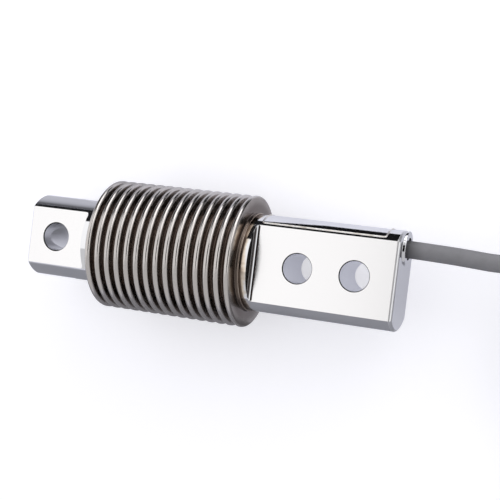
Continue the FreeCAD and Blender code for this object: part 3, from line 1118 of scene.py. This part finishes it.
@dataclass
class WeldSeams:
    """Welds that close the load cell: a bead at each end of the bellows and one round the cover."""

    bead_radius: float = mm(0.24)
    ring_radius: float = mm(0.17)
    bead_sides: int = 10
    ring_steps: int = 180
    corner_radius: float = mm(0.65)
    corner_steps: int = 8
    straight_step: float = mm(0.5)
    merge: float = mm(0.01)
    burnt: tuple[Colour, Colour, Colour] = ((0.46, 0.39, 0.33), (0.36, 0.29, 0.24), (0.22, 0.17, 0.14))

    def __post_init__(self) -> None:
        """Takes the bar's axis, the bellows' ends and the cover's outline from the CAD nodes."""
        low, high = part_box("bellows")
        self.axis_height = (low.z + high.z) / 2
        self.load_cuff, self.mount_cuff = low.x, high.x
        low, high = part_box("pocket_cover")
        self.cover_start, self.cover_end = low.x, high.x
        self.cover_radius = high.y
        self.half_angle = math.asin((high.z - low.z) / 2 / self.cover_radius)

    def _section(self, bm: BMesh, radius: float, facing: Matrix) -> list[BMEdge]:
        """Draws the bead's round section.

        Args:
            bm: Shape that is being made.
            radius: Radius of the section.
            facing: Its place and turn.

        Returns:
            The section's edges.
        """
        made = bmesh.ops.create_circle(bm, cap_ends=False, segments=self.bead_sides,
                                       radius=radius, matrix=facing)
        return list({edge for vert in made["verts"] for edge in vert.link_edges})

    def _last(self, made: dict) -> list[BMEdge]:
        """Edges that an operator ended with."""
        return [item for item in made["geom_last"] if isinstance(item, BMEdge)]

    def _run(self, bm: BMesh, ring: list[BMEdge], way: Vector) -> list[BMEdge]:
        """Carries the section straight on, in short steps.

        Args:
            bm: Shape that is being made.
            ring: Edges that the bead has come to.
            way: Length and direction of the run.

        Returns:
            The edges at the run's end.
        """
        steps = max(1, round(way.length / self.straight_step))
        made = bmesh.ops.spin(bm, geom=ring, cent=ORIGIN, axis=UP_AXIS, dvec=way / steps,
                              angle=0.0, steps=steps, use_merge=False)
        return self._last(made)

    def _corner(self, bm: BMesh, ring: list[BMEdge], centre: Vector) -> list[BMEdge]:
        """Carries the section round a quarter turn.

        Args:
            bm: Shape that is being made.
            ring: Edges that the bead has come to.
            centre: Point that the corner goes round.

        Returns:
            The edges at the corner's end.
        """
        made = bmesh.ops.spin(bm, geom=ring, cent=centre, axis=UP_AXIS, dvec=ORIGIN,
                              angle=math.pi / 2, steps=self.corner_steps, use_merge=False)
        return self._last(made)

    def cover_seam(self) -> bpy.types.Object:
        """Lays the bead flat round the cover's unrolled outline, then bends it onto the bar.

        Returns:
            The seam round the cover.
        """
        corner = self.corner_radius
        near, far = self.cover_start + corner, self.cover_end - corner
        edge = self.cover_radius * self.half_angle
        side = edge - corner
        long_run = Vector((far - near, 0.0, 0.0))
        short_run = Vector((0.0, 2 * side, 0.0))
        bm = bmesh.new()
        facing = Matrix.Translation((near, -edge, 0.0)) @ Matrix.Rotation(math.pi / 2, 4, "Y")
        ring = self._section(bm, self.bead_radius, facing)
        sides = ((long_run, (far, -side)), (short_run, (far, side)), (-long_run, (near, side)),
                 (-short_run, (near, -side)))
        for way, centre in sides:
            ring = self._run(bm, ring, way)
            ring = self._corner(bm, ring, Vector((*centre, 0.0)))
        for vert in bm.verts:
            angle = vert.co.y / self.cover_radius
            out = self.cover_radius + vert.co.z
            vert.co = (vert.co.x, out * math.cos(angle), self.axis_height + out * math.sin(angle))
        close_up(bm, self.merge)
        return new_piece(bm, "cover_weld", WeldFinish("cover_weld").material())

    def cuff_seam(self, name: str, station: float, radius: float) -> bpy.types.Object:
        """Spins the bead round one end of the bellows.

        Args:
            name: Name of the seam.
            station: Its place along the bar.
            radius: Radius of the collar that it lies on.

        Returns:
            The new seam.
        """
        bm = bmesh.new()
        facing = Matrix.Translation((station, 0.0, radius)) @ Matrix.Rotation(math.pi / 2, 4, "X")
        ring = self._section(bm, self.ring_radius, facing)
        spin_round_bar(bm, ring, self.ring_steps, self.merge, self.axis_height)
        return new_piece(bm, name, WeldFinish(name, *self.burnt).material())

    def build(self) -> None:
        """Makes all seams."""
        self.cover_seam()
        self.cuff_seam("load_cuff_weld", self.load_cuff, LOAD_COLLAR_RADIUS)
        self.cuff_seam("mount_cuff_weld", self.mount_cuff, MOUNT_COLLAR_RADIUS)


@dataclass
class SteelBar:
    """Turned and milled bar with its pocket cover, and the gland that the cable leaves by."""

    collar_length: float = mm(2.25)
    load_hole_inset: float = mm(8.9)
    mount_hole_inset: float = mm(11.5)
    mount_hole_spacing: float = mm(16.1)
    end_edge: Span = (mm(1.0), mm(0.06))

    def finish(self) -> SteelFinish:
        """Places the bar's different surfaces at stations from the CAD nodes.

        Returns:
            The finish of the bar.
        """
        axis_height = middle_of("bellows").z
        load_weld, mount_weld = (corner.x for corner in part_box("bellows"))
        load_end, cable_end = (corner.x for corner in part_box("spring_element"))
        last_hole = cable_end - self.mount_hole_inset
        holes = (load_end + self.load_hole_inset, last_hole - self.mount_hole_spacing, last_hole)
        return SteelFinish(
            "bar_steel",
            flats=GroundFlats(axis_height),
            end_edge=EndEdge(*(cable_end - inset for inset in self.end_edge)),
            heat=HeatTint((load_weld, mount_weld)),
            # Painted shade on the shoulder, just past the collar
            film=ShoulderShade(mount_weld + self.collar_length, axis_height),
            # Painted shade round the bolt holes
            hole_rim_shade=HoleRimShade(holes, axis_height),
        )

    def dress(self) -> None:
        """Dresses the bar, its cover and the gland."""
        cover = SteelFinish("cover_steel", bright=(0.79, 0.79, 0.805), dull=(0.73, 0.73, 0.75))
        ferrule = SteelFinish("ferrule_steel", roughness=(0.05, 0.09), grain=Grain.ROUND_BAR)
        crimp = SteelFinish("crimp_metal", roughness=(0.3, 0.5), grain=Grain.ROUND_BAR)
        rubber = SatinFinish("seal_rubber", base=(0.03, 0.03, 0.032), shade=(0.045, 0.045, 0.046),
                             roughness=(0.5, 0.7))
        dress_nodes(self.finish(), "spring_element")
        dress_nodes(cover, "pocket_cover")
        dress_nodes(ferrule, "gland_ferrule")
        dress_nodes(crimp, "crimp_ring")
        dress_nodes(rubber, "gland_seal")


@dataclass
class GaugeCircuit:
    """Strain gauges on the beam with their solder pads and leads."""

    film: Colour = (0.55, 0.27, 0.06)
    film_shade: Colour = (0.42, 0.19, 0.04)
    foil: Colour = (0.62, 0.50, 0.38)
    solder: Colour = (0.72, 0.71, 0.68)
    enamel: Colour = (0.36, 0.11, 0.03)
    enamel_shade: Colour = (0.28, 0.08, 0.02)
    enamel_roughness: Span = (0.18, 0.3)
    tab_length: Span = (mm(1.9), mm(3.1))
    tab_width: Span = (mm(0.3), mm(1.9))
    land_length: Span = (mm(-2.0), mm(2.0))
    land_width: Span = (mm(0.4), mm(2.5))

    def _film(self, name: str, metal: Colour, patches: tuple[Patch | MeasuringGrid, ...]) -> None:
        """Dresses one piece of film with its metal."""
        finish = FoilFinish("foil_" + name, middle_of(name), self.film, self.film_shade, metal, patches)
        dress_nodes(finish, name)

    def dress(self) -> None:
        """Dresses the gauges, pads and leads above and below."""
        for level in ("top", "bottom"):
            for end, way in (("load", 1.0), ("mount", -1.0)):
                near, far = sorted(way * part for part in self.tab_length)
                tabs = paired(near, far, self.tab_width)
                self._film(f"strain_gauge_{level}_{end}", self.foil, (*tabs, MeasuringGrid()))
            self._film("terminal_pad_" + level, self.solder, paired(*self.land_length, self.land_width))
            enamel = SatinFinish("lead_enamel_" + level, self.enamel, self.enamel_shade,
                                 self.enamel_roughness)
            dress_nodes(enamel, f"gauge_lead_{level}_plus", f"gauge_lead_{level}_minus")


@dataclass
class CompensationBoard:
    """Printed board in the pocket with the resistors that trim the bridge."""

    laminate: Colour = (0.03, 0.16, 0.06)
    laminate_shade: Colour = (0.02, 0.11, 0.04)
    copper: Colour = (0.72, 0.46, 0.26)
    chip: Colour = (0.015, 0.015, 0.017)
    chip_shade: Colour = (0.03, 0.03, 0.032)
    cap: Colour = (0.70, 0.69, 0.67)
    rail_reach: float = mm(10.5)
    rail_width: Span = (mm(3.6), mm(4.0))
    land_reach: float = mm(0.9)
    land_width: Span = (mm(1.0), mm(2.2))
    track_reach: float = mm(0.15)
    track_width: Span = (mm(2.0), mm(3.8))
    cap_reach: float = mm(0.9)
    cap_width: Span = (mm(1.1), mm(1.7))
    uses: tuple[str, ...] = ("zero", "span", "temperature", "input")

    def dress(self) -> None:
        """Dresses each resistor, and the board with a land and a track at each of them."""
        board = middle_of("compensation_board")
        copper = paired(-self.rail_reach, self.rail_reach, self.rail_width)
        for use in self.uses:
            name = use + "_resistor"
            place = middle_of(name)
            along = place.x - board.x
            copper += paired(along - self.land_reach, along + self.land_reach, self.land_width)
            copper += paired(along - self.track_reach, along + self.track_reach, self.track_width)
            caps = paired(-self.cap_reach, self.cap_reach, self.cap_width)
            chip = FoilFinish("chip_" + name, place, self.chip, self.chip_shade, self.cap, caps,
                              side=FoilSide.UPRIGHT)
            dress_nodes(chip, name)
        laminate = FoilFinish("board_laminate", board, self.laminate, self.laminate_shade, self.copper,
                              copper, side=FoilSide.UPRIGHT)
        dress_nodes(laminate, "compensation_board")


@dataclass
class CableEnds:
    """Cores of the cable at the board and at its stripped end, the shield and the hank's ties."""

    core_colours: tuple[tuple[str, Colour, Colour], ...] = (
        ("red", (0.42, 0.02, 0.015), (0.33, 0.015, 0.012)),
        ("black", (0.012, 0.012, 0.013), (0.022, 0.022, 0.023)),
        ("green", (0.02, 0.19, 0.045), (0.015, 0.14, 0.035)),
        ("white", (0.72, 0.72, 0.69), (0.64, 0.64, 0.61)),
    )
    core_roughness: Span = (0.3, 0.42)
    strand_way: Triple = (1400.0, 900.0, 900.0)
    tie_ridge_way: Triple = (0.0, 900.0, 900.0)

    def dress(self) -> None:
        """Dresses the cores, the shield and the ties."""
        for colour, base, shade in self.core_colours:
            finish = SatinFinish("core_" + colour, base, shade, self.core_roughness)
            dress_nodes(finish, "inner_core_" + colour, "core_end_" + colour)
        shield = SatinFinish("shield_wire", base=(0.72, 0.70, 0.67), shade=(0.62, 0.60, 0.57),
                             roughness=(0.25, 0.4), metallic=1.0, ridge_way=self.strand_way)
        tie = SatinFinish("tie_plastic", base=(0.02, 0.02, 0.021), shade=(0.03, 0.03, 0.03),
                          ridge_way=self.tie_ridge_way)
        dress_nodes(shield, "shield_end")
        dress_nodes(tie, "hank_tie_near", "hank_tie_far")


@dataclass(frozen=True)
class Fade:
    """Grey of a card that changes between two places along Y."""

    near: float
    near_grey: float
    far: float
    far_grey: float


@dataclass
class Studio:
    """Plain pale floor in a grey room, with soft panels and cards that shape the reflections."""

    floor_size: float = 8.0
    floor_drop: float = mm(0.05)
    floor_colour: Colour = (0.77, 0.77, 0.82)
    matt: float = 0.9
    camera_glow: float = 0.35
    mirror_glow: float = 0.16
    mirror_tint: Colour = (0.72, 0.78, 1.0)
    room_colour: Colour = (0.98, 0.98, 1.0)
    room_level: float = 0.72
    card_lift: float = mm(0.3)
    card_tint: Colour = (0.97, 0.98, 1.07)
    black: float = 0.01

    def _sheet(self, name: str, size: Span, place: Matrix,
               material: bpy.types.Material) -> bpy.types.Object:
        """Puts a flat rectangle of the stage in the scene.

        Args:
            name: Name of the sheet.
            size: Width and depth.
            place: Its middle, turn and slant, from lying flat.
            material: Its material.

        Returns:
            The new object.
        """
        bm = bmesh.new()
        # The grid's size is half its side, so this one measures one metre until it is scaled
        bmesh.ops.create_grid(bm, x_segments=1, y_segments=1, size=0.5)
        bmesh.ops.scale(bm, verts=bm.verts[:], vec=(*size, 1.0))
        bmesh.ops.transform(bm, verts=bm.verts[:], matrix=place)
        mesh = bpy.data.meshes.new(name)
        bm.to_mesh(mesh)
        bm.free()
        mesh.materials.append(material)
        thing = bpy.data.objects.new(name, mesh)
        bpy.context.scene.collection.objects.link(thing)
        return thing

    def _tinted(self, grey: float) -> Colour:
        """A card's grey with the tint that all cards share."""
        return tuple(grey * part for part in self.card_tint)

    def on_floor(self, x: float, y: float, slant: float = 0.0) -> Matrix:
        """Finds the place of a card on the floor.

        Args:
            x: Its middle along X.
            y: Its middle along Y.
            slant: How far its sides lean along X for each step along Y.

        Returns:
            The card's place.
        """
        lean = Matrix.Identity(4)
        lean[0][1] = slant
        return Matrix.Translation((x, y, self.card_lift)) @ lean

    def floor(self) -> None:
        """Lays the floor just below the load cell."""
        graph = Graph("floor")
        path = graph.add("LightPath").outputs
        tint = graph.mix(path["Is Camera Ray"], self.mirror_tint, (1.0, 1.0, 1.0))
        graph.set(Base_Color=opaque(self.floor_colour), Roughness=self.matt, Emission_Color=tint)
        mirrored = graph.step("MAXIMUM", path["Is Glossy Ray"], path["Is Transmission Ray"])
        glow = graph.step("MULTIPLY", path["Is Camera Ray"], self.camera_glow)
        glow = graph.step("ADD", glow, graph.step("MULTIPLY", mirrored, self.mirror_glow))
        graph.set(Emission_Strength=glow)
        place = Matrix.Translation((0.0, 0.0, -self.floor_drop))
        self._sheet("floor", (self.floor_size, self.floor_size), place, graph.material)

    def card(self, name: str, place: Matrix, size: Span, grey: float | Fade) -> None:
        """Sets a card that only reflections show.

        Args:
            name: Name of the card.
            place: Its middle, turn and slant, from lying flat.
            size: Width and depth.
            grey: Its grey, or the fade from one grey to another.
        """
        graph = Graph(name)
        if isinstance(grey, Fade):
            passed = graph.span(graph.axis_part("Y"), grey.near, grey.far)
            tone = graph.mix(passed, self._tinted(grey.near_grey), self._tinted(grey.far_grey))
        else:
            tone = opaque(self._tinted(grey))
        graph.set(Base_Color=tone, Roughness=self.matt, Specular_IOR_Level=0.0)
        card = self._sheet(name, size, place, graph.material)
        card.visible_camera = False
        card.visible_diffuse = False
        card.visible_shadow = False

    def panel(self, name: str, place: Triple, aim: Triple, size: Span, level: float) -> None:
        """Hangs one soft rectangular light.

        Args:
            name: Name of the light.
            place: Its middle.
            aim: Point that it faces.
            size: Width and height.
            level: Brightness of its face, where 1 is white.
        """
        data = bpy.data.lights.new(name, "AREA")
        data.shape = "RECTANGLE"
        data.size, data.size_y = size
        data.energy = level * math.pi * size[0] * size[1]
        light = bpy.data.objects.new(name, data)
        bpy.context.scene.collection.objects.link(light)
        turn = (Vector(aim) - Vector(place)).to_track_quat("-Z", "Y").to_matrix().to_4x4()
        light.matrix_world = Matrix.Translation(place) @ turn
        light.visible_camera = False

    def world(self) -> None:
        """Sets the plain grey room."""
        world = bpy.data.worlds.new("room")
        world.use_nodes = True
        background = world.node_tree.nodes["Background"].inputs
        background["Color"].default_value = opaque(self.room_colour)
        background["Strength"].default_value = self.room_level
        bpy.context.scene.world = world

    def lights(self) -> None:
        """Hangs all panels, places and sizes in metres."""
        cell = (0.0, 0.0, mm(20.0))
        self.panel("overhead", (-0.25, 0.22, 0.49), aim=(-0.25, 0.22, -0.51), size=(0.46, 0.86), level=0.45)
        self.panel("left", (-0.62, 0.0, 0.24), aim=(0.0, 0.0, 0.24), size=(0.6, 0.46), level=0.5)
        self.panel("right", (0.45, 0.0, 0.32), aim=cell, size=(0.3, 0.3), level=0.6)
        self.panel("back", (0.05, 0.25, 0.09), aim=(0.05, 0.0, 0.09), size=(0.21, 0.18), level=1.4)
        self.panel("back_right", (0.22, 0.22, 0.2), aim=cell, size=(0.2, 0.2), level=1.2)

    def cards(self) -> None:
        """Sets all cards, places and sizes in metres."""
        hung = Matrix.Translation((0.155, 0.01, 0.34))
        upright = Matrix.Translation((-0.231, 0.252, 0.1)) @ Matrix.Rotation(math.pi / 2, 4, "X")
        front = Matrix.Translation((-0.02, -0.13, mm(0.5)))
        beside = Fade(near=0.03, near_grey=0.61, far=0.13, far_grey=0.13)
        below = Fade(near=-0.009, near_grey=0.42, far=0.005, far_grey=0.96)
        self.card("camera_shade", hung, size=(0.2, 0.24), grey=self.black)
        self.card("back_floor", self.on_floor(0.077, 0.16, -0.35), size=(0.24, 0.17), grey=self.black)
        self.card("near_floor", self.on_floor(0.112, 0.058, -1.4), size=(0.225, 0.034), grey=self.black)
        self.card("left_floor", self.on_floor(-0.195, 0.13, -0.62), size=(0.23, 0.22), grey=beside)
        self.card("back_left", upright, size=(0.338, 0.2), grey=0.02)
        self.card("front_floor", front, size=(0.4, 0.22), grey=0.36)
        self.card("load_floor", self.on_floor(-0.04, 0.0), size=(0.03, 0.06), grey=below)
        self.card("end_floor", self.on_floor(0.148, 0.0), size=(0.184, 0.1), grey=0.77)

    def build(self) -> None:
        """Sets floor, room, lights and cards."""
        self.floor()
        self.world()
        self.lights()
        self.cards()
        LOG.info("studio set")


def main() -> None:
    """Builds the scene in order."""
    logging.basicConfig(level=logging.INFO)
    bpy.context.scene.view_settings.view_transform = "Standard"
    ViewCamera().build()
    CableCord().build()
    MetalBellows().build()
    WeldSeams().build()
    SteelBar().dress()
    GaugeCircuit().dress()
    CompensationBoard().dress()
    CableEnds().dress()
    Studio().build()


if __name__ == "__main__":
    main()
